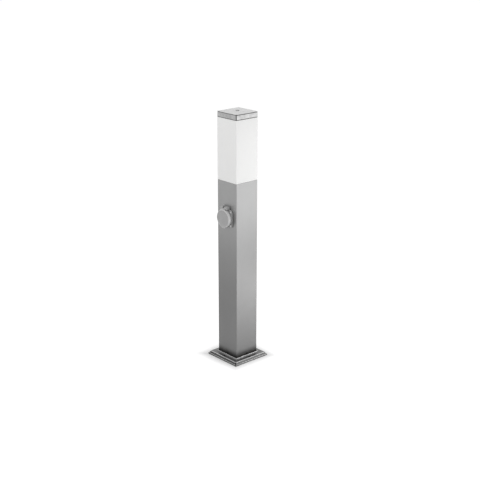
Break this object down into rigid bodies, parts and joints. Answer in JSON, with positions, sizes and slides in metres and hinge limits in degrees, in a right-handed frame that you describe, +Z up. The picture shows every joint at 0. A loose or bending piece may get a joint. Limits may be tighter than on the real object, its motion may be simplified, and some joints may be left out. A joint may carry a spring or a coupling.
{
  "type": "bollard light with socket",
  "caption": "Square steel garden bollard light with an opal diffuser head, a capped top, a stepped bolt-down foot and a socket outlet under a sprung lid.",
  "frame": {"origin": "centre of the foot's underside, on the ground", "axes": "+Z up along the post, -Y out of the face with the socket outlet, +X to the right seen from the socket's side"},
  "size_m": [0.119, 0.119, 0.7],
  "materials": {
    "cast_aluminium": "cast, matt",
    "black_rubber": "matt",
    "sheet_steel": "plain mill finish",
    "polished_steel": "polished",
    "brushed_steel": "fine brushed along the post",
    "screw_steel": "bright",
    "white_plastic": "matt",
    "grey_plastic": "satin",
    "black_plastic": "matt",
    "opal_plastic": "opal, satin",
    "brass": "plain",
    "lamp_aluminium": "satin",
    "lead_sheath": "smooth sheath"
  },
  "bodies": {
    "post": {"anchor_plate": "cast_aluminium", "cable_grommet": "black_rubber", "foot_sleeve": "sheet_steel", "base_cover": "polished_steel", "post_seal": "black_rubber", "post_tube": "brushed_steel", "post_screws": "screw_steel", "terminal_bracket": "sheet_steel", "bracket_screws": "screw_steel", "terminal_block": "white_plastic", "terminal_screws": "screw_steel", "cable_clamp": "white_plastic", "clamp_screws": "screw_steel", "earth_stud": "brass", "earth_nut": "brass", "socket_gasket": "black_rubber", "socket_body": "grey_plastic", "contact_base": "white_plastic", "line_contact": "brass", "neutral_contact": "brass", "earth_strap": "brass", "contact_base_screws": "screw_steel", "backing_plate": "sheet_steel", "flange_screws": "screw_steel", "hinge_pin": "screw_steel", "lid_spring": "screw_steel", "head_tray": "sheet_steel", "tie_rods": "screw_steel", "rod_nuts": "screw_steel", "top_bridge": "sheet_steel", "diffuser": "opal_plastic", "diffuser_lower_gasket": "black_rubber", "diffuser_upper_gasket": "black_rubber", "cap": "brushed_steel", "cap_washer": "black_rubber", "cap_screw": "screw_steel", "lamp_nipple": "brass", "nipple_nut": "brass", "lamp_holder": "black_plastic", "holder_contact": "brass", "lamp_cap": "lamp_aluminium", "lamp_neck": "white_plastic", "lamp_globe": "opal_plastic", "lamp_lead": "lead_sheath", "socket_lead": "lead_sheath", "lead_clips": "black_plastic"},
    "lid": {"socket_lid": "grey_plastic", "lid_gasket": "black_rubber"}
  },
  "joints": [
    {"name": "lid_hinge", "type": "hinge", "parent": "post", "child": "lid", "pos_m": [0, -0.0475, 0.4405], "axis": [-1, 0, 0], "range_deg": [0, 105], "stiffness_Nm_per_rad": 0.02, "springref_deg": -34.38, "deforming": ["lid_spring"]}
  ]
}
